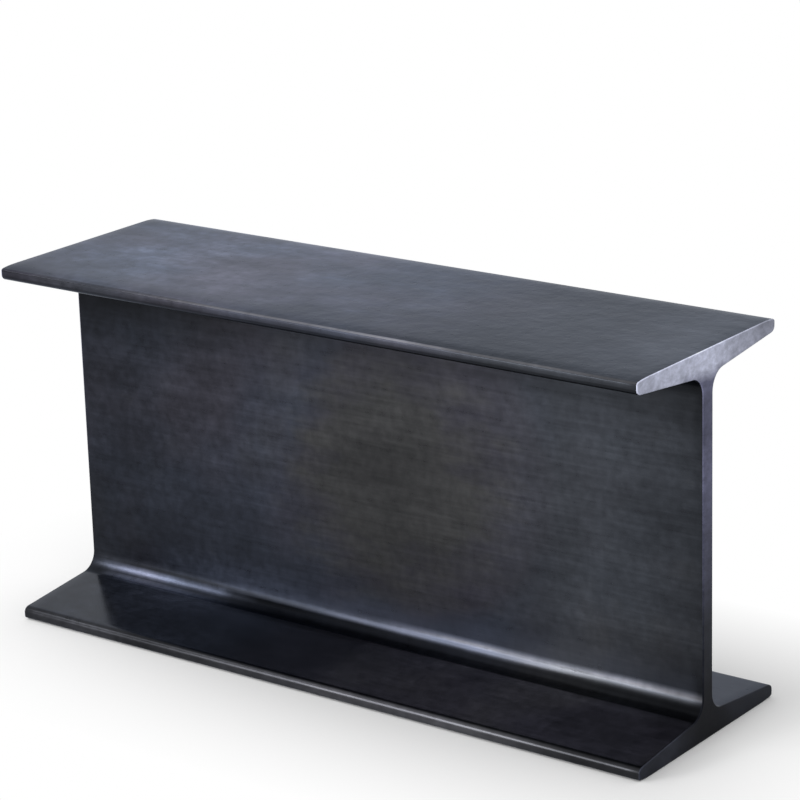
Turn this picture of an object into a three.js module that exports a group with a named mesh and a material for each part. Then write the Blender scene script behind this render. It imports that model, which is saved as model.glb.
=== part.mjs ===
// A short length of rolled steel I-beam, standing on its lower flange.
//
// The beam is one solid. Its section has a plain web, two equal flanges whose inner faces slope
// down to thin toes, a fillet where each flange meets the web, and rounded toes. Both ends are
// sawn square, and the burr is eased off all round each cut.
//
// Millimetres. X runs along the beam, Y across the flanges and Z up. The origin is on the floor,
// under the middle of the lower flange.

import * as THREE from 'three';

// Driving dimensions
const beamLength = 304.8;
const sectionDepth = 153;
const flangeWidth = 96;
const webThickness = 6.6;
const flangeToeThickness = 5.3;
const flangeSlopeDegrees = 6.3;
const rootFilletRadius = 8.0;
const toeInnerRadius = 2.6;
const toeOuterRadius = 1.2;
const cutEdgeEase = 0.5;

// Fineness of the curves
const arcSegments = 14;
const easeSegments = 3;

// Two tangent arcs that share one edge of the outline leave this share of it straight between them.
const straightShare = 0.02;

// The sharp corners of one quarter of the section, from the crown of the flange to the web.
// Here x is the distance from the web's centre plane, and y the height above mid-depth.
function quarterCorners() {
  const halfWidth = flangeWidth / 2;
  const halfDepth = sectionDepth / 2;
  const halfWeb = webThickness / 2;
  const toeUnderside = halfDepth - flangeToeThickness;
  const overhang = halfWidth - halfWeb;
  const rootUnderside = toeUnderside - overhang * Math.tan(THREE.MathUtils.degToRad(flangeSlopeDegrees));
  return [
    { x: halfWidth, y: halfDepth, radius: toeOuterRadius },
    { x: halfWidth, y: toeUnderside, radius: toeInnerRadius },
    { x: halfWeb, y: rootUnderside, radius: rootFilletRadius },
  ];
}

// The whole outline, anticlockwise, from the quarter mirrored in both centre lines.
function sectionCorners() {
  const quarter = quarterCorners();
  const mirrored = (signX, signY) => quarter.map(({ x, y, radius }) => ({ x: signX * x, y: signY * y, radius }));
  return [
    ...mirrored(1, -1),
    ...mirrored(1, 1).reverse(),
    ...mirrored(-1, 1),
    ...mirrored(-1, -1).reverse(),
  ];
}

// The distance from a sharp corner to where its rounding starts, for each unit of radius.
function tangentPerRadius(before, corner, after) {
  const arriving = new THREE.Vector2(corner.x - before.x, corner.y - before.y);
  const leaving = new THREE.Vector2(after.x - corner.x, after.y - corner.y);
  const turn = Math.acos(arriving.dot(leaving) / (arriving.length() * leaving.length()));
  return Math.tan(turn / 2);
}

// A closed shape through the corners, each rounded by an arc tangent to both of its edges.
// A radius is limited only where the two edges have no room for it.
function roundedShape(corners) {
  const count = corners.length;
  const at = (index) => corners[(index + count) % count];
  const point = (index) => new THREE.Vector2(at(index).x, at(index).y);
  const reach = corners.map((corner, i) => corner.radius * tangentPerRadius(at(i - 1), corner, at(i + 1)));
  const room = corners.map((corner, i) => {
    const edge = point(i).distanceTo(point(i + 1)) * (1 - straightShare);
    return Math.min(1, edge / (reach[i] + reach[(i + 1) % count]));
  });

  const shape = new THREE.Shape();
  corners.forEach((corner, i) => {
    const fit = Math.min(room[i], room[(i - 1 + count) % count]);
    const radius = corner.radius * fit;
    const here = point(i);
    const backward = point(i - 1).sub(here).normalize();
    const forward = point(i + 1).sub(here).normalize();
    const start = here.clone().addScaledVector(backward, reach[i] * fit);
    const end = here.clone().addScaledVector(forward, reach[i] * fit);
    const bisector = backward.clone().add(forward).normalize();
    const centre = here.clone().addScaledVector(bisector, Math.hypot(radius, reach[i] * fit));
    const startAngle = Math.atan2(start.y - centre.y, start.x - centre.x);
    const endAngle = Math.atan2(end.y - centre.y, end.x - centre.x);
    const clockwise = backward.cross(forward) > 0;
    if (i === 0) {
      shape.moveTo(start.x, start.y);
    }
    shape.absarc(centre.x, centre.y, radius, startAngle, endAngle, clockwise);
  });
  shape.closePath();
  return shape;
}

// The section drawn out to the beam's length, with its two cut edges eased.
function beamGeometry() {
  const geometry = new THREE.ExtrudeGeometry(roundedShape(sectionCorners()), {
    depth: beamLength - 2 * cutEdgeEase,
    curveSegments: arcSegments,
    bevelEnabled: true,
    bevelThickness: cutEdgeEase,
    bevelSize: cutEdgeEase,
    bevelOffset: -cutEdgeEase,
    bevelSegments: easeSegments,
  });
  geometry.translate(0, 0, cutEdgeEase - beamLength / 2);
  return geometry;
}

const blackenedSteel = new THREE.MeshStandardMaterial({
  color: 0x4a4b52,
  roughness: 0.38,
  metalness: 1.0,
});

const beam = new THREE.Mesh(beamGeometry(), blackenedSteel);
beam.name = 'i_beam';

// The extrusion's own x, y and z become the beam's Y, Z and X.
const acrossFlanges = new THREE.Vector3(0, 1, 0);
const upward = new THREE.Vector3(0, 0, 1);
const alongBeam = new THREE.Vector3(1, 0, 0);
beam.quaternion.setFromRotationMatrix(new THREE.Matrix4().makeBasis(acrossFlanges, upward, alongBeam));
beam.position.z = sectionDepth / 2;

const group = new THREE.Group();
group.add(beam);

export default group;
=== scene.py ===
"""A short length of blackened steel I-beam, dressed for a plain studio picture.

Objects are in metres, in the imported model's frame: X runs along the beam, Y across the flanges
and Z up, with the floor at Z = 0. Materials use the same frame, with their lengths in
millimetres. The camera stands in front of the beam, on its -Y side, and to the right.
"""

import math

import bmesh
import bpy
from mathutils import Matrix, Vector, noise

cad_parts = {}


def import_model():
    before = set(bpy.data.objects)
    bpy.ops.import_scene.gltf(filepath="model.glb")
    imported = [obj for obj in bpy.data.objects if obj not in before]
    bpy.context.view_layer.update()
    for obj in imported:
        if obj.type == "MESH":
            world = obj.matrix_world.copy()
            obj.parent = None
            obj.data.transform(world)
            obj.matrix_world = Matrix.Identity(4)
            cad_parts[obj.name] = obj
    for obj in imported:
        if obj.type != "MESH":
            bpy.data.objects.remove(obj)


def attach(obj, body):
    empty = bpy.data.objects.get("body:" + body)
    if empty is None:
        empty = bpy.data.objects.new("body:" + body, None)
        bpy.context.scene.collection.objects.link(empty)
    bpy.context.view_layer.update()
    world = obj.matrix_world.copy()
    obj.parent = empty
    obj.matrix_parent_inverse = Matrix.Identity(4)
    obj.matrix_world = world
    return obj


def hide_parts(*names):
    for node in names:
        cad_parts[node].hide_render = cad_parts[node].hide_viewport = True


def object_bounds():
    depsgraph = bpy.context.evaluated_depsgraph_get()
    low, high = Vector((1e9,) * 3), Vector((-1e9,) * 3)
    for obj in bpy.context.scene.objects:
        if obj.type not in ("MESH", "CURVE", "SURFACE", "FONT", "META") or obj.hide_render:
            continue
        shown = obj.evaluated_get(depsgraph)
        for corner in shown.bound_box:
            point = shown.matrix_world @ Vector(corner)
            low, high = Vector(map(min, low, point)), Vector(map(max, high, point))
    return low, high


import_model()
cad_low, cad_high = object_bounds()

MM = 0.001

# ---------------------------------------------------------------- the beam's sizes
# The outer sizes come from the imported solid. The section's own sizes repeat part.mjs.
BEAM_LENGTH = cad_high.x - cad_low.x
FLANGE_WIDTH = cad_high.y - cad_low.y
SECTION_DEPTH = cad_high.z - cad_low.z
SECTION_CENTRE = Vector((0, (cad_low.y + cad_high.y) / 2, (cad_low.z + cad_high.z) / 2))
WEB_THICKNESS = 6.6 * MM
TOE_THICKNESS = 5.3 * MM
FLANGE_SLOPE = math.radians(6.3)
ROOT_RADIUS = 8.0 * MM
TOE_INNER_RADIUS = 2.6 * MM
TOE_OUTER_RADIUS = 1.2 * MM
CUT_EASE = 0.5 * MM

# Rolling leaves a slow unevenness, which draws the faces in by up to the wave's height. A face
# keeps its height where the upright part of its normal is LEVEL_NORMAL or more.
WAVE_HEIGHT = 0.04 * MM
WAVE_LENGTH = 45 * MM
LEVEL_NORMAL = 0.99

# The outer faces of the flanges fall away at the toes.
EDGE_FALL = 0.45 * MM
EDGE_FALL_WIDTH = 9 * MM
EDGE_FALL_POWER = 3

# ---------------------------------------------------------------- the beam's mesh
ARC_STEPS = 12
EASE_STEPS = 4
BODY_STEPS = 60
FLAT_STEP = 1.5 * MM
# which of the beam's two materials a face has
ROLLED_FACE, CUT_FACE = 0, 1

# ---------------------------------------------------------------- the camera
PHOTO_WIDTH_PX = 800
FOCAL_PX = 3127.6
SENSOR_MM = 36.0
CAMERA_AZIMUTH = math.radians(36.93)
CAMERA_ELEVATION = math.radians(17.40)
CAMERA_ROLL = math.radians(-1.70)
CAMERA_DISTANCE = 1.2413
AIM_RIGHT = 8.86 * MM
AIM_UP = 30.57 * MM

# ---------------------------------------------------------------- the studio
FLOOR_HALF = 8.0
SHADOW_REACH = 80 * MM
AMBIENT = 0.90


# ================================================================ geometry
def quarter_corners():
    """One quarter of the section, from the crown of the flange to the web, about its centre."""
    half_width = FLANGE_WIDTH / 2
    half_depth = SECTION_DEPTH / 2
    half_web = WEB_THICKNESS / 2
    toe_underside = half_depth - TOE_THICKNESS
    root_underside = toe_underside - (half_width - half_web) * math.tan(FLANGE_SLOPE)
    return [
        (half_width, half_depth, TOE_OUTER_RADIUS),
        (half_width, toe_underside, TOE_INNER_RADIUS),
        (half_web, root_underside, ROOT_RADIUS),
    ]


def section_corners():
    """The whole outline, anticlockwise: (y, z, radius) about the section's centre."""
    quarter = quarter_corners()

    def mirrored(sign_y, sign_z):
        return [(sign_y * y, sign_z * z, radius) for y, z, radius in quarter]

    return (
        mirrored(1, -1)
        + mirrored(1, 1)[::-1]
        + mirrored(-1, 1)
        + mirrored(-1, -1)[::-1]
    )


def corner_arc(before, corner, after):
    """(point, outward normal) along the arc that rounds a corner, tangent to both its edges."""
    y, z, radius = corner
    here = Vector((y, z))
    backward = (Vector(before[:2]) - here).normalized()
    forward = (Vector(after[:2]) - here).normalized()
    half_angle = backward.angle(forward) / 2
    centre = here + (backward + forward).normalized() * (radius / math.sin(half_angle))
    convex = backward.cross(forward) < 0
    reach = radius / math.tan(half_angle)
    start = here + backward * reach
    end = here + forward * reach
    first = math.atan2(*(start - centre).yx)
    sweep = math.atan2(*(end - centre).yx) - first
    sweep = (sweep + math.pi) % (2 * math.pi) - math.pi
    points = []
    for step in range(ARC_STEPS + 1):
        turn = first + sweep * step / ARC_STEPS
        ray = Vector((math.cos(turn), math.sin(turn)))
        points.append((centre + ray * radius, ray if convex else -ray))
    return points


def rounded_outline(corners):
    """(point, outward normal) round the outline: its arcs, and short steps along the flats."""
    count = len(corners)
    arcs = [corner_arc(corners[i - 1], corners[i], corners[(i + 1) % count]) for i in range(count)]
    outline = []
    for i, points in enumerate(arcs):
        outline += points
        start, normal = points[-1]
        end = arcs[(i + 1) % count][0][0]
        steps = max(1, round((end - start).length / FLAT_STEP))
        outline += [(start.lerp(end, k / steps), normal) for k in range(1, steps)]
    return outline


def edge_fall(point):
    """How far the outer face of a flange has fallen away at this point of the outline."""
    flat_half_width = FLANGE_WIDTH / 2 - TOE_OUTER_RADIUS
    from_toe = max(0.0, flat_half_width - abs(point.x))
    fall = EDGE_FALL * max(0.0, 1 - from_toe / EDGE_FALL_WIDTH) ** EDGE_FALL_POWER
    from_outer_face = SECTION_DEPTH / 2 - abs(point.y)
    share = max(0.0, 1 - from_outer_face / TOE_THICKNESS)
    return math.copysign(fall * share, -point.y)


def stations():
    """(x, how far the outline is drawn in there, on the ease) from one cut to the other."""
    turns = [math.pi / 2 * k / EASE_STEPS for k in range(EASE_STEPS + 1)]
    ease = [(CUT_EASE * (1 - math.sin(a)), CUT_EASE * (1 - math.cos(a))) for a in turns]
    left = [(cad_low.x + depth, inset) for depth, inset in reversed(ease)]
    right = [(cad_high.x - depth, inset) for depth, inset in ease]
    first, last = left[-1][0], right[0][0]
    body = [(first + (last - first) * k / BODY_STEPS, 0.0) for k in range(1, BODY_STEPS)]
    return left + body + right


def surface_place(x, inset, point, normal):
    """Where a point of the outline lies at x, drawn in by the ease and by the rolling."""
    drawn = point - normal * inset
    place = SECTION_CENTRE + Vector((x, drawn.x, drawn.y + edge_fall(point)))
    hollow = WAVE_HEIGHT * (1 - noise.noise(place / WAVE_LENGTH)) / 2
    place.y -= normal.x * hollow
    if abs(normal.y) < LEVEL_NORMAL:
        place.z -= normal.y * hollow
    return place


def beam_mesh(name):
    """The beam as one closed mesh. Its cut ends, eased by a quarter round, are the cut faces."""
    outline = rounded_outline(section_corners())
    built = bmesh.new()
    rings = []
    for x, inset in stations():
        rings.append([built.verts.new(surface_place(x, inset, *spot)) for spot in outline])

    around = len(outline)
    rows = len(rings) - 1
    for row in range(rows):
        near, far = rings[row], rings[row + 1]
        eased = row < EASE_STEPS or row >= rows - EASE_STEPS
        for k in range(around):
            after = (k + 1) % around
            face = built.faces.new((near[k], near[after], far[after], far[k]))
            face.smooth = True
            face.material_index = CUT_FACE if eased else ROLLED_FACE
    for cap in (rings[0][::-1], rings[-1]):
        face = built.faces.new(cap)
        face.material_index = CUT_FACE
    bmesh.ops.recalc_face_normals(built, faces=built.faces)
    mesh = bpy.data.meshes.new(name)
    built.to_mesh(mesh)
    built.free()
    return mesh


# ================================================================ node trees
# nearly all of a noise lies between these
NOISE_LOW, NOISE_HIGH = 0.3, 0.7
# the sockets of a Mix node that mixes colours
MIX_FACTOR, MIX_A, MIX_B, MIX_RESULT = 0, 6, 7, 2


class Nodes:
    """A short way to write a node tree: a call adds what it needs and returns its output."""

    def __init__(self, tree):
        self.tree = tree

    def add(self, kind, **settings):
        """A new node, and not its output."""
        node = self.tree.nodes.new("ShaderNode" + kind)
        for key, value in settings.items():
            setattr(node, key, value)
        return node

    def set(self, socket, value):
        """Link the socket to an output, or give it a value of its own."""
        if isinstance(value, bpy.types.NodeSocket):
            self.tree.links.new(value, socket)
        else:
            socket.default_value = value

    # ---- numbers
    def maths(self, operation, a, b=0.0):
        node = self.add("Math", operation=operation)
        self.set(node.inputs[0], a)
        self.set(node.inputs[1], b)
        return node.outputs[0]

    def joined(self, operation, values):
        """All the values in one result, joined in turn by an operation on two."""
        result, *others = values
        for value in others:
            result = self.maths(operation, result, value)
        return result

    def product(self, *values):
        return self.joined("MULTIPLY", values)

    def total(self, *values):
        return self.joined("ADD", values)

    def largest(self, *values):
        return self.joined("MAXIMUM", values)

    def smallest(self, *values):
        return self.joined("MINIMUM", values)

    def apart(self, a, b):
        """How far two values are apart."""
        return self.maths("ABSOLUTE", self.maths("SUBTRACT", a, b))

    def spread(self, value, low, high, to_low=0.0, to_high=1.0):
        """The value with low..high spread over to_low..to_high, clamped."""
        node = self.add("MapRange")
        self.set(node.inputs["Value"], value)
        self.set(node.inputs["From Min"], low)
        self.set(node.inputs["From Max"], high)
        self.set(node.inputs["To Min"], to_low)
        self.set(node.inputs["To Max"], to_high)
        return node.outputs["Result"]

    def varied(self, grain, low, high):
        """A noise spread over low..high."""
        return self.spread(grain, NOISE_LOW, NOISE_HIGH, low, high)

    # ---- masks, from 0 to 1
    def fade(self, value, full, gone):
        """1 up to full, and 0 from gone."""
        return self.spread(value, full, gone, 1.0, 0.0)

    def band(self, value, start, full, fading, gone):
        """0 up to start, 1 from full to fading, and 0 from gone."""
        return self.product(self.spread(value, start, full), self.fade(value, fading, gone))

    def near(self, point, reach):
        """1 at this point of the object, falling away to 0 at the reach."""
        gap = self.add("VectorMath", operation="DISTANCE")
        self.set(gap.inputs[0], self.place())
        self.set(gap.inputs[1], point)
        return self.fade(gap.outputs["Value"], 0, reach)

    def inverse(self, mask):
        return self.maths("SUBTRACT", 1.0, mask)

    def where(self, mask, inside, outside=1.0):
        """One value where the mask is 1, and another where it is 0."""
        return self.spread(mask, 0, 1, outside, inside)

    # ---- places and noise
    def place(self, squeeze=(1, 1, 1)):
        """The place on the object in millimetres, each axis multiplied by its squeeze."""
        scaled = self.add("VectorMath", operation="MULTIPLY")
        self.set(scaled.inputs[0], self.add("TexCoord").outputs["Object"])
        self.set(scaled.inputs[1], [factor / MM for factor in squeeze])
        return scaled.outputs[0]

    def axes(self):
        split = self.add("SeparateXYZ")
        self.set(split.inputs[0], self.place())
        return split.outputs["X"], split.outputs["Y"], split.outputs["Z"]

    def facing_up(self):
        """The upward part of the surface's own normal: 1 on level tops and 0 on walls."""
        split = self.add("SeparateXYZ")
        self.set(split.inputs[0], self.add("TexCoord").outputs["Normal"])
        return split.outputs["Z"]

    def noise(self, size, detail=3.0, roughness=0.5, squeeze=(1, 1, 1)):
        """Fractal noise from 0 to 1, with features of about this size in millimetres."""
        node = self.add("TexNoise")
        self.set(node.inputs["Vector"], self.place(squeeze))
        self.set(node.inputs["Scale"], 1 / size)
        self.set(node.inputs["Detail"], detail)
        self.set(node.inputs["Roughness"], roughness)
        return node.outputs["Fac"]

    # ---- colours and relief
    def mix(self, factor, a, b, blend="MIX"):
        node = self.add("Mix", data_type="RGBA", blend_type=blend)
        self.set(node.inputs[MIX_FACTOR], factor)
        self.set(node.inputs[MIX_A], a)
        self.set(node.inputs[MIX_B], b)
        return node.outputs[MIX_RESULT]

    def shaded(self, colour, level):
        """The colour with its brightness multiplied by this level."""
        grey = self.add("CombineColor")
        for key in ("Red", "Green", "Blue"):
            self.set(grey.inputs[key], level)
        return self.mix(1.0, colour, grey.outputs[0], "MULTIPLY")

    def bump(self, height, depth, strength, under=None):
        """Relief of this depth in millimetres, on top of the relief under it."""
        node = self.add("Bump")
        self.set(node.inputs["Height"], height)
        self.set(node.inputs["Distance"], depth * MM)
        self.set(node.inputs["Strength"], strength)
        if under:
            self.set(node.inputs["Normal"], under)
        return node.outputs["Normal"]

    def seen_directly(self):
        """1 for rays from the camera and for what glossy and clear surfaces show."""
        path = self.add("LightPath")
        kinds = ("Is Camera Ray", "Is Glossy Ray", "Is Transmission Ray")
        return self.largest(*(path.outputs[kind] for kind in kinds))


class Material(Nodes):
    """A new material and the nodes in it, with one Principled shader on its surface."""

    def __init__(self, name):
        self.material = bpy.data.materials.new(name)
        self.material.use_nodes = True
        super().__init__(self.material.node_tree)
        self.tree.nodes.clear()
        self.surface = self.add("OutputMaterial").inputs["Surface"]
        self.shader = self.add("BsdfPrincipled")
        self.set(self.surface, self.shader.outputs["BSDF"])

    def shade(self, inputs):
        """Set the shader's sockets by name."""
        for name, value in inputs.items():
            self.set(self.shader.inputs[name], value)


def rgb(r, g, b):
    return (r, g, b, 1.0)


# ================================================================ the rolled faces
BLUE_BLACK = rgb(0.035, 0.041, 0.060)
VIOLET_BLACK = rgb(0.040, 0.039, 0.053)
SLATE_BLACK = rgb(0.0385, 0.0425, 0.0500)
OLIVE_BLACK = rgb(0.042, 0.042, 0.043)
# the neutral grey of the painted highlights on the toes and roots
HIGHLIGHT_GREY = rgb(0.0415, 0.0415, 0.0455)
GRAZING_TINT = rgb(0.60, 0.64, 0.72)

# how far the painted highlights on the toes and roots turn to the neutral highlight grey
HIGHLIGHT_GREY_SHARE = 0.85
# relief in millimetres: the faint pits and streaks, with their strength, and the crown's grit
FAINT_DEPTH, FAINT_STRENGTH = 0.02, 0.2
GRIT_DEPTH = 0.26


class Places:
    """Where a point of the beam is, which way it faces, and the beam's zones as masks."""

    def __init__(self, m):
        self.x, self.y, self.z = m.axes()
        self.up = m.facing_up()
        self.from_middle = m.apart(self.y, 0)

        # the top face and the upper flange's toes are high, and everything else is low
        toe = m.spread(self.from_middle, 44.8, 45.6)
        high = m.largest(
            m.spread(self.z, 147, 149),
            m.product(toe, m.spread(self.z, 143, 145)),
        )
        self.low = m.inverse(high)

        # the level faces are the crown on top and the ledges, which are the lower flange's upper
        # faces, and the curved ones are the toes and roots, where they look partly upward
        self.level_face = m.spread(self.up, 0.970, 0.990)
        self.curved = m.product(m.spread(self.up, 0.10, 0.34), m.inverse(self.level_face))
        self.crown = m.product(high, self.level_face)
        self.top_toe = m.product(high, m.inverse(self.level_face))
        self.ledge = m.product(self.low, self.level_face)
        self.front_ledge = m.product(self.ledge, m.fade(self.y, -4, 4))

        # on a toe, the strip that shows the front light, and the arris above it
        self.toward_light = m.band(self.up, 0.08, 0.20, 0.38, 0.50)
        self.arris = m.band(self.up, 0.34, 0.52, 0.93, 0.985)


class Grain:
    """The skin's noises from the widest to the finest, and the streaks along and across."""

    def __init__(self, m):
        self.tint = m.noise(95, squeeze=(1, 1.3, 1.3))
        self.clouds = m.noise(60)
        self.patches = m.noise(26, detail=4, roughness=0.55, squeeze=(1, 2.2, 2.2))
        self.blotches = m.noise(10, detail=4, roughness=0.6)
        self.grit = m.noise(7, roughness=0.62)
        self.mottle = m.noise(4, detail=4, roughness=0.55)
        self.along = m.noise(30, squeeze=(1, 22, 22))
        self.across = m.noise(30, roughness=0.6, squeeze=(14, 1, 1))


# Below, m makes the nodes, at holds the places and grain holds the noises. A mask says where
# something is. A level is a factor of the brightness there, and 1 changes nothing. Along the
# beam, x runs from -152 at the left end to 152 at the right.


def skin_colour(m, at, grain):
    """Blue-black, clouded violet and olive, and turning to slate toward the right end."""
    violet = m.total(
        grain.tint,
        m.near((25, 0, 85), 65),
        m.product(at.ledge, m.spread(at.x, -90, 0, -0.3, 0.4)),
    )
    slate = m.product(m.spread(at.x, 45, 90, 0.0, 0.8), m.inverse(at.ledge))
    stain = m.total(m.near((12, 0, 80), 70), m.varied(grain.patches, -0.2, 0.2))
    olive = m.largest(m.spread(grain.clouds, 0.54, 0.68, 0.0, 0.4), m.spread(stain, 0.15, 0.55))
    colour = m.mix(m.spread(violet, 0.42, 0.62), BLUE_BLACK, VIOLET_BLACK)
    colour = m.mix(slate, colour, SLATE_BLACK)
    return m.mix(m.product(olive, m.where(at.crown, 0.3)), colour, OLIVE_BLACK)


def grain_level(m, at, grain):
    """The grain in the brightness, stronger toward the left end and on level faces."""

    def along_beam(left, rest):
        return m.spread(at.x, -120, -20, left, rest)

    everywhere = m.product(
        m.varied(grain.clouds, 0.75, 1.25),
        m.varied(grain.patches, along_beam(0.74, 0.82), along_beam(1.26, 1.18)),
        m.varied(grain.mottle, along_beam(0.76, 0.86), along_beam(1.24, 1.14)),
        m.varied(grain.along, 0.90, 1.10),
        m.varied(grain.across, 0.97, 1.03),
    )
    return m.product(
        m.maths("POWER", everywhere, m.where(at.level_face, 1.6)),
        m.where(at.level_face, m.varied(grain.blotches, 0.84, 1.16)),
    )


# ---- the roots
def painted_root_shade(m, at):
    """A mask of painted shade on the lower roots and toes, except at the left end."""
    steepest_root = m.smallest(
        m.spread(at.x, -60, 50, 0.26, 0.38),
        m.spread(at.x, 70, 110, 0.38, 0.18),
    )
    steepest = m.spread(at.z, 7, 9, 0.72, steepest_root)
    return m.product(
        at.low,
        at.curved,
        m.spread(at.up, steepest, m.total(steepest, 0.20)),
        m.spread(at.x, -100, -60),
    )


def root_shade_level(m, at):
    """The painted shade is darkest where the curve is steep."""
    steep = m.smallest(m.spread(at.x, -50, 50, 0.06, 0.28), m.spread(at.x, 60, 110, 0.30, 0.18))
    shallow = m.spread(at.x, -50, 50, 0.45, 0.60)
    return m.spread(at.up, 0.62, 0.86, steep, shallow)


def painted_root_highlight(m, at):
    """A mask of a painted highlight up where the lower roots meet the web, from the middle on."""
    fading = m.spread(at.x, 80, 130, 16.5, 17.2)
    gone = m.spread(at.x, 80, 130, 18.8, 19.4)
    return m.product(
        m.band(at.z, 15.1, 16.4, fading, gone),
        m.maths("POWER", m.spread(at.x, -20, 38), 2),
        m.spread(m.apart(at.x, 88), 10, 32, 0.58, 1.0),
        m.spread(at.x, 100, 135, 1.0, 1.15),
    )


def left_root_level(m, at):
    """Up the lower root on the left: a thin painted highlight, a broader one, a strip of painted
    shade and a painted glow.
    """
    thin_highlight = m.product(
        m.band(at.up, 0.81, 0.92, 0.942, 0.992),
        m.band(at.z, 9.2, 9.5, 11.5, 12.5),
        m.band(at.x, -145, -128, -125, -72),
    )
    painted_highlight = m.product(
        m.band(at.up, 0.33, 0.55, 0.63, 0.85),
        m.spread(at.z, 9.5, 10.5),
        m.spread(at.x, -154, -120),
        m.spread(at.x, -121, -99, 1.0, 0.33),
        m.fade(at.x, -84, -74),
        at.low,
    )
    shade_strip = m.product(
        m.band(at.up, 0.16, 0.26, 0.36, 0.46),
        m.band(at.z, 8, 10, 18, 20),
        m.band(at.x, -145, -130, -30, -10),
    )
    glow = m.product(
        m.fade(at.up, 0.16, 0.28),
        m.band(at.z, 11, 12, 20, 30),
        m.band(at.x, -140, -105, -60, -25),
    )
    return m.product(
        m.where(thin_highlight, 17.0),
        m.where(painted_highlight, 13.5),
        m.where(shade_strip, 0.55),
        m.where(glow, 1.8),
    )


# ---- the lower toes
def low_toe_face(m, at):
    """A mask of the lower toes, which carry a painted highlight."""
    full = m.spread(at.x, -100, -60, 0.965, 0.85)
    gone = m.spread(at.x, -100, -60, 0.997, 0.95)
    return m.product(
        m.spread(at.from_middle, 44, 45.5),
        m.fade(at.z, 5.5, 6.5),
        m.fade(at.up, full, gone),
    )


def low_toe_level(m, at):
    """A painted highlight along the lower toes, by amounts that change along the beam."""
    lit = m.spread(at.x, -120, 30, 2.2, 1.2)
    unlit = m.spread(at.x, 60, 150, 2.3, 1.1)
    return m.product(
        m.where(at.toward_light, lit, outside=unlit),
        m.spread(at.x, -114, -96, 1.2, 0.48),
        m.spread(at.x, -80, 45, 1.0, 1.8),
        m.spread(at.x, 90, 125, 1.0, 0.63),
        m.spread(at.x, 136, 144, 1.0, 1.5),
    )


# ---- the web, the ledges and the upper flange
def web_level(m, at):
    """Painted reflection brightest to the right and duller at that end, and painted shade toward
    both flanges.

    Everything that is low shares this, and not the web alone.
    """
    dull_patch = m.near((25, 0, 68), 75)
    # painted shade low at the left end
    left_foot = m.product(m.fade(at.x, -150, -75), m.fade(at.z, 15, 75))
    # painted shade under the top flange, deepest at the left
    under_flange = m.spread(at.z, m.spread(at.x, -110, -60, 112, 119), 131)
    # painted shade just above the lower root, from the middle on
    above_root = m.product(m.band(at.z, 16.5, 18.5, 20, 38), m.spread(at.x, -20, 60))
    return m.product(
        m.spread(at.x, -120, 100, 0.38, 0.79),
        m.spread(at.x, 105, 150, 1.0, 0.60),
        m.spread(at.z, 10, 60, 0.90, 1.0),
        m.spread(at.z, 100, 138, 1.0, 0.50),
        m.where(dull_patch, 0.72),
        m.where(left_foot, 0.45),
        m.where(under_flange, m.spread(at.x, -120, -40, 0.22, 0.64)),
        m.where(above_root, 0.55),
    )


def ledge_level(m, at):
    """Painted reflection on the ledges, darkest left of the middle, and a painted glow on the front
    one by its left root.
    """
    glow = m.product(
        m.band(at.y, -28, -12, -10, -8),
        m.band(at.x, -130, -105, -84, -72),
    )
    return m.product(
        m.spread(m.apart(at.x, -30), 20, 65, 0.45, 1.0),
        m.spread(at.x, -80, -50, 1.6, 1.15),
        m.spread(at.y, -4, 4, 1.0, 0.7),
        m.where(glow, 1.8),
    )


def crown_level(m, at):
    """Painted reflection on the top: brightest left of the middle and dark at the front, and pale
    at its back edge.
    """
    front = m.spread(at.x, -120, -60, 0.35, 0.65)
    back_edge = m.spread(at.x, -150, 0, 4.0, 2.0)
    return m.product(
        m.spread(at.x, -150, -95, 0.7, 1.0),
        m.spread(at.x, -50, 60, 2.5, 0.6),
        m.spread(at.x, 112, 150, 1.0, 2.1),
        m.spread(at.y, -40, -10, front, 1.0),
        m.spread(at.y, 45, 47.5, 1.0, back_edge),
    )


def top_toe_level(m, at):
    """Painted shade on the upper toes, under an arris with a painted highlight, brightest near the
    middle.
    """
    lit = m.spread(at.x, -150, -60, 0.08, 0.22)
    unlit = m.product(
        m.spread(at.up, -0.3, 0.1, 0.30, 0.46),
        m.spread(at.up, -0.95, -0.45, 0.4, 1.0),
    )
    left_arris = m.spread(at.up, 0.45, 0.85, 0.35, 1.2)
    arris_light = m.product(
        m.spread(at.x, -100, -72, left_arris, 1.0),
        m.spread(at.x, -100, -5, 1.0, 4.2),
        m.spread(at.x, 20, 45, 1.0, 1.25),
        m.spread(at.x, 50, 80, 1.0, 0.50),
        m.spread(at.x, 115, 150, 1.0, 0.65),
    )
    return m.where(at.arris, arris_light, outside=m.where(at.toward_light, lit, outside=unlit))


def relief(m, at, grain):
    """Faint pits and roll streaks, and on the crown a coarser grit, weaker at the left."""
    pitted = m.bump(grain.mottle, FAINT_DEPTH, FAINT_STRENGTH)
    streaked = m.bump(grain.along, FAINT_DEPTH, FAINT_STRENGTH, under=pitted)
    gritty = m.product(at.crown, m.spread(at.x, -110, 20, 0.25, 1.0))
    return m.bump(grain.grit, GRIT_DEPTH, gritty, under=streaked)


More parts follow.
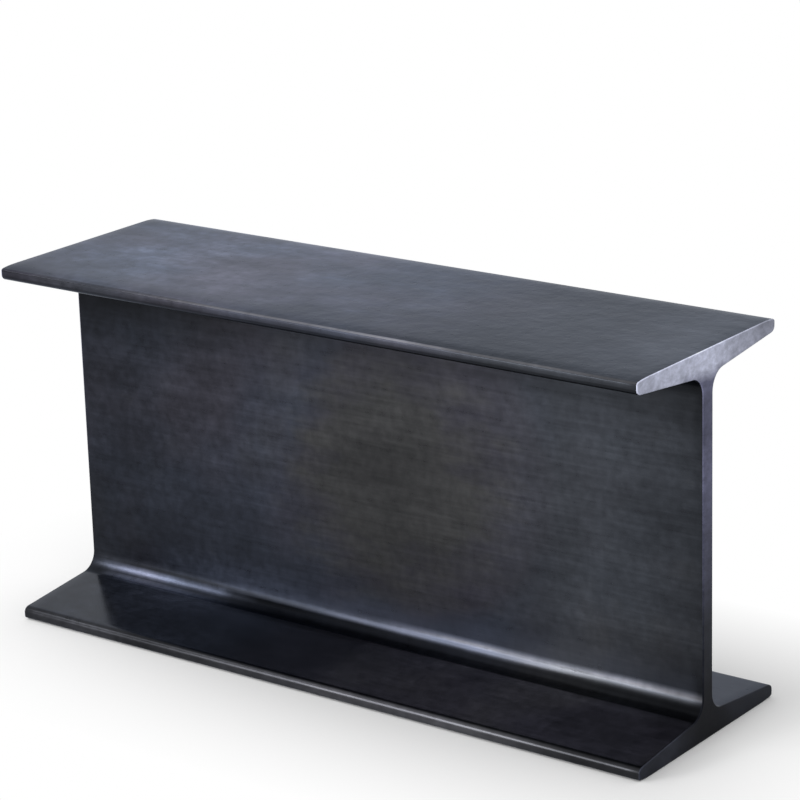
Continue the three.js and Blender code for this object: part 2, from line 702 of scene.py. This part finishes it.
def blackened_steel():
    """A dark oxide skin, with painted highlights on the toes and roots, and painted reflection and
    shade on the top, the ledges and the web.
    """
    m = Material("blackened_steel")
    at = Places(m)
    grain = Grain(m)
    # masks of painted shade in the lower roots, of a painted highlight where they meet the web, and
    # of the lower toes
    root_shade = painted_root_shade(m, at)
    root_highlight = painted_root_highlight(m, at)
    low_toe = low_toe_face(m, at)

    # the low faces: painted reflection and shade on the web, painted shade and highlights on the
    # roots, and a painted highlight on the lower toes
    on_low = m.product(
        web_level(m, at),
        left_root_level(m, at),
        m.where(root_shade, root_shade_level(m, at)),
        m.where(root_highlight, 4.5),
        m.where(low_toe, low_toe_level(m, at)),
    )
    level = m.product(
        grain_level(m, at, grain),
        m.where(at.crown, crown_level(m, at)),
        m.where(at.top_toe, top_toe_level(m, at)),
        m.where(at.low, on_low),
        m.where(at.ledge, ledge_level(m, at)),
    )
    # the painted highlights on the upper arris, lower toes and root line turn toward a neutral grey
    arris_highlight_mask = m.product(at.top_toe, at.arris, m.spread(at.x, -110, -60))
    grey_highlight_share = m.product(m.largest(root_highlight, low_toe, arris_highlight_mask), HIGHLIGHT_GREY_SHARE)
    colour = m.mix(grey_highlight_share, skin_colour(m, at, grain), HIGHLIGHT_GREY)

    # the front ledge is smoother and less metallic, and the painted root shade is more metallic
    root_shade_metal = m.spread(at.x, -40, 40, 1.20, 1.08)
    metallic = m.product(m.where(at.front_ledge, 0.5, outside=0.8), m.where(root_shade, root_shade_metal))
    rough = m.spread(m.total(grain.mottle, grain.along), 0.7, 1.3, 0.27, 0.33)
    m.shade({
        "Base Color": m.shaded(colour, level),
        "Metallic": metallic,
        "Specular Tint": GRAZING_TINT,
        "Roughness": m.product(rough, m.where(at.front_ledge, 0.6)),
        "Normal": relief(m, at, grain),
    })
    return m.material


# ================================================================ the cut ends
# the cut's colours paint its light: shade at the foot, grey up the web and a pale painted
# reflection on the top flange
DARK_CUT = rgb(0.018, 0.020, 0.028)
GREY_CUT = rgb(0.101, 0.104, 0.163)
PALE_CUT = rgb(0.43, 0.45, 0.560)
CUT_TINT = rgb(0.75, 0.75, 0.75)

# the rim is full from this far inside the plane of the cut, and gone from this near to it
RIM_FULL, RIM_GONE = 0.2, 0.02
# the rim's painted highlight: the cut's brightness multiplied by this level, and then the glint
# added
RIM_LEVEL = 1.6
RIM_GLINT = rgb(0.030, 0.030, 0.034)


def cut_colour(m, x, y, height):
    """Painted light up the cut: shade at the foot, grey up the web, and a pale painted reflection
    on the top flange of the right end.
    """
    # painted shade at the foot, darkest near the web
    clear_of_root = m.largest(m.spread(m.apart(y, 0), 6, 24), m.spread(height, 20, 40))
    foot = m.shaded(
        DARK_CUT,
        m.product(m.where(clear_of_root, 1.0, outside=0.4), m.spread(y, -26, -12, 1.4, 1.0)),
    )
    web = m.shaded(
        GREY_CUT,
        m.product(m.spread(height, 108, 120, 1.0, 0.74), m.spread(height, 128, 136, 1.0, 1.35)),
    )
    top = m.shaded(
        PALE_CUT,
        m.product(m.spread(y, -48, 0, 0.80, 1.12), m.spread(y, 0, 40, 1.0, 0.45)),
    )
    # the pale painted reflection covers the top flange at the right end only
    bright_top_share = m.product(m.spread(height, 140.5, 146), m.spread(x, -1, 1))
    return m.mix(bright_top_share, m.mix(m.spread(height, 46, 106), foot, web), top)


def cut_rim(m, x, y, height):
    """A mask of the rim's painted highlight, full round the top flange and weaker down the web and
    foot.
    """
    cut_x = cad_high.x / MM
    ease = m.fade(m.apart(x, 0), cut_x - RIM_FULL, cut_x - RIM_GONE)
    foot_rim = m.spread(y, -20, -8, 0.5, 0.1)
    web_rim = m.spread(y, -2, 2, 0.35, 1.0)
    below = m.spread(height, 85, 110, foot_rim, web_rim)
    return m.product(ease, m.spread(height, 128, 140, below, 1.0))


def sawn_steel():
    """Speckled and marked by the blade, with a painted highlight on the rim round the cut."""
    m = Material("sawn_steel")
    x, y, z = m.axes()
    height = m.total(z, m.varied(m.noise(12, detail=4), -1.5, 1.5))
    speckle = m.noise(1.8, detail=4, roughness=0.7, squeeze=(1, 0.6, 1))
    level = m.product(m.varied(speckle, 0.74, 1.26), m.varied(m.noise(7), 0.82, 1.18))
    colour = m.shaded(cut_colour(m, x, y, height), level)
    painted_highlight = m.mix(1.0, m.shaded(colour, RIM_LEVEL), RIM_GLINT, "ADD")
    blade_marks = m.noise(5, roughness=0.7, squeeze=(1, 1, 12))
    m.shade({
        "Base Color": m.mix(cut_rim(m, x, y, height), colour, painted_highlight),
        "Metallic": 1.0,
        "Specular Tint": CUT_TINT,
        "Roughness": m.varied(speckle, 0.34, 0.46),
        "Normal": m.bump(blade_marks, depth=0.03, strength=0.6),
    })
    return m.material


# ================================================================ the studio
FLOOR_COLOUR = rgb(0.88, 0.88, 0.88)
WHITE = rgb(1, 1, 1)


def floor_material():
    """Pale and matt beside the beam, so that it holds the shadow, and plain white further out."""
    m = Material("floor")
    m.shade({"Base Color": FLOOR_COLOUR, "Roughness": 0.9, "Specular IOR Level": 0.0})
    x, y, _ = m.axes()
    beyond = []
    for along, half in ((x, BEAM_LENGTH / 2), (y, FLANGE_WIDTH / 2)):
        outside = m.largest(m.maths("SUBTRACT", m.apart(along, 0), half / MM), 0)
        beyond.append(m.maths("POWER", outside, 2))
    distance = m.maths("POWER", m.total(*beyond), 0.5)
    far = m.spread(distance, 0, SHADOW_REACH / MM)
    blend = m.add("MixShader")
    share, beside, further_out = blend.inputs
    m.set(share, m.product(far, m.seen_directly()))
    m.set(beside, m.shader.outputs["BSDF"])
    m.set(further_out, m.add("Emission").outputs[0])
    m.set(m.surface, blend.outputs[0])
    return m.material


def floor():
    """A wide square on the ground."""
    mesh = bpy.data.meshes.new("floor")
    corners = [(x * FLOOR_HALF, y * FLOOR_HALF, 0) for x, y in ((-1, -1), (1, -1), (1, 1), (-1, 1))]
    mesh.from_pydata(corners, [], [(0, 1, 2, 3)])
    piece = bpy.data.objects.new("floor", mesh)
    bpy.context.scene.collection.objects.link(piece)
    mesh.materials.append(floor_material())


def world():
    """An even pale light from all round, and white where it is seen."""
    studio = bpy.data.worlds.new("studio")
    bpy.context.scene.world = studio
    studio.use_nodes = True
    background = studio.node_tree.nodes["Background"]
    m = Nodes(studio.node_tree)
    m.set(background.inputs["Color"], WHITE)
    m.set(background.inputs["Strength"], m.where(m.seen_directly(), 1.0, outside=AMBIENT))


def area_light(name, direction, distance, size, radiance, aim):
    """A softbox in this direction from the aim, as bright as a face of this radiance."""
    data = bpy.data.lights.new(name, "AREA")
    data.shape = "RECTANGLE"
    width, height = size
    data.size = width
    data.size_y = height
    data.energy = radiance * math.pi * width * height
    lamp = bpy.data.objects.new(name, data)
    bpy.context.scene.collection.objects.link(lamp)
    away = Vector(direction).normalized()
    lamp.location = Vector(aim) + away * distance
    lamp.rotation_mode = "QUATERNION"
    lamp.rotation_quaternion = away.to_track_quat("Z", "Y")


def lights():
    """Two softboxes at the front left: a large one, and a small one aimed at the left end."""
    area_light(
        "front",
        direction=(-0.573, -0.79, 0.145),
        distance=0.90,
        size=(0.30, 0.32),
        radiance=19.0,
        aim=(0.155, -0.006, 0.015),
    )
    area_light(
        "left",
        direction=(-0.573, -0.543, 0.615),
        distance=0.40,
        size=(0.10, 0.10),
        radiance=7.5,
        aim=(-0.115, -0.006, 0.012),
    )


def camera():
    """The photograph's view: turned, tilted and rolled, and aimed a little off the middle."""
    data = bpy.data.cameras.new("camera")
    data.sensor_width = SENSOR_MM
    data.lens = FOCAL_PX / PHOTO_WIDTH_PX * SENSOR_MM
    data.clip_start = 0.05
    data.clip_end = 50
    back = Vector((
        math.sin(CAMERA_AZIMUTH) * math.cos(CAMERA_ELEVATION),
        -math.cos(CAMERA_AZIMUTH) * math.cos(CAMERA_ELEVATION),
        math.sin(CAMERA_ELEVATION),
    ))
    level_right = Vector((math.cos(CAMERA_AZIMUTH), math.sin(CAMERA_AZIMUTH), 0))
    level_up = back.cross(level_right)
    right = level_right * math.cos(CAMERA_ROLL) + level_up * math.sin(CAMERA_ROLL)
    up = level_up * math.cos(CAMERA_ROLL) - level_right * math.sin(CAMERA_ROLL)
    middle = Vector((0, 0, SECTION_DEPTH / 2))
    piece = bpy.data.objects.new("camera", data)
    bpy.context.scene.collection.objects.link(piece)
    piece.rotation_mode = "QUATERNION"
    piece.rotation_quaternion = Matrix((right, up, back)).transposed().to_quaternion()
    piece.location = middle + back * CAMERA_DISTANCE + right * AIM_RIGHT + up * AIM_UP
    bpy.context.scene.camera = piece


# ================================================================ the scene
beam = bpy.data.objects.new("beam_visual", beam_mesh("beam_visual"))
bpy.context.scene.collection.objects.link(beam)
beam.data.materials.append(blackened_steel())
beam.data.materials.append(sawn_steel())
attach(beam, "root")
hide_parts("i_beam")

floor()
world()
lights()
camera()
bpy.context.scene.view_settings.view_transform = "Standard"
